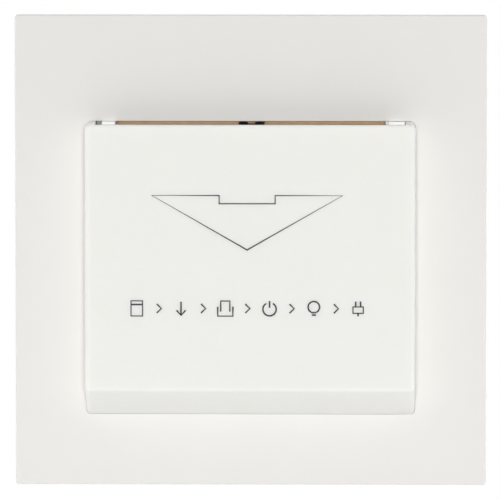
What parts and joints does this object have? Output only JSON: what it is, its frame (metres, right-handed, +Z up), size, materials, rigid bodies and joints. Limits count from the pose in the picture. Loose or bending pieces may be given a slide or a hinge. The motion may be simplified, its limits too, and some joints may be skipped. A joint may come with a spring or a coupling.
{
  "type": "hotel key card switch",
  "caption": "Square wall plate with a raised open-topped card pocket, a lever behind it, and a deep rear box holding the boards, power relay and wire terminals",
  "frame": {"origin": "midway between the two fixing screws, on the face of the wall", "axes": "+X to the viewer's right, +Y into the wall, +Z up; the plate faces -Y"},
  "size_m": [0.086, 0.0455, 0.086],
  "materials": {
    "black_nylon": "satin black",
    "black_plastic": "satin black",
    "blue_coating": "dipped blue coating",
    "bobbin_plastic": "natural",
    "brass": "milled",
    "bright_steel": "ground",
    "capacitor_box": "yellow box",
    "capacitor_sleeve": "dark blue sleeve",
    "carrier_plastic": "satin black",
    "chip_ceramic": "matt",
    "clear_lens": "clear",
    "component_black": "moulded black",
    "copper_leaf": "rolled copper",
    "copper_winding": "enamelled copper wire",
    "dark_plastic": "satin dark brown",
    "grey_plastic": "satin grey",
    "header_plastic": "satin black",
    "ivory_plastic": "fine matt warm white",
    "milky_plastic": "milky, satin gloss",
    "plated_iron": "nickel plated",
    "plunger_plastic": "satin red",
    "relay_base_plastic": "satin black",
    "relay_plastic": "satin black",
    "resistor_coating": "pale green cement",
    "spring_wire": "oil-tempered brown",
    "switch_plastic": "satin black",
    "tan_laminate": "paper laminate, satin",
    "tinned_metal": "tinned",
    "white_plastic": "bright white, satin",
    "zinc_steel": "zinc plated"
  },
  "bodies": {
    "base": {"bridge_rectifier": "component_black", "card_guide": "white_plastic", "driver_transistor": "component_black", "dropper_resistor": "resistor_coating", "electrolytic_capacitor": "capacitor_sleeve", "film_capacitor": "capacitor_box", "front_plate": "ivory_plastic", "guide_screws": "zinc_steel", "housing_screws": "zinc_steel", "indicator_leds": "clear_lens", "led_resistors": "chip_ceramic", "lever_bracket": "dark_plastic", "lever_pin": "bright_steel", "lever_spring": "spring_wire", "link_header": "header_plastic", "link_pins": "tinned_metal", "microswitch_case": "switch_plastic", "microswitch_pins": "tinned_metal", "mounting_chassis": "grey_plastic", "pocket_cover": "milky_plastic", "power_board": "tan_laminate", "power_board_screws": "zinc_steel", "rear_housing": "black_plastic", "relay_base": "relay_base_plastic", "relay_bobbin": "bobbin_plastic", "relay_case": "relay_plastic", "relay_core": "plated_iron", "relay_fixed_contact": "copper_leaf", "relay_pins": "tinned_metal", "relay_winding": "copper_winding", "relay_yoke": "plated_iron", "sensor_board": "tan_laminate", "terminal_carrier": "carrier_plastic", "terminal_screws": "zinc_steel", "varistor": "blue_coating", "wire_terminals": "brass"},
    "card_lever": {"card_lever": "black_nylon"},
    "microswitch_plunger": {"microswitch_plunger": "plunger_plastic"},
    "relay_armature": {"relay_armature": "plated_iron", "relay_contact_leaf": "copper_leaf"}
  },
  "joints": [
    {"name": "card_lever_swing", "type": "hinge", "parent": "base", "child": "card_lever", "pos_m": [0, -0.0065, 0.0212], "axis": [1, 0, 0], "range_deg": [0, 6.4], "stiffness_Nm_per_rad": 0.03, "springref_deg": -14.32, "deforming": ["lever_spring"]},
    {"name": "plunger_travel", "type": "slide", "parent": "base", "child": "microswitch_plunger", "axis": [0, 1, 0], "range_m": [0, 0.0009]},
    {"name": "relay_armature_rock", "type": "hinge", "parent": "base", "child": "relay_armature", "pos_m": [-0.01485, 0.0083, 0.0075], "axis": [0, 0, 1], "range_deg": [0, 2.4], "stiffness_Nm_per_rad": 0.02, "springref_deg": -17.19}
  ],
  "couplings": [
    {"joint": "plunger_travel", "follows": "card_lever_swing", "m_per_rad": 0.0079}
  ]
}
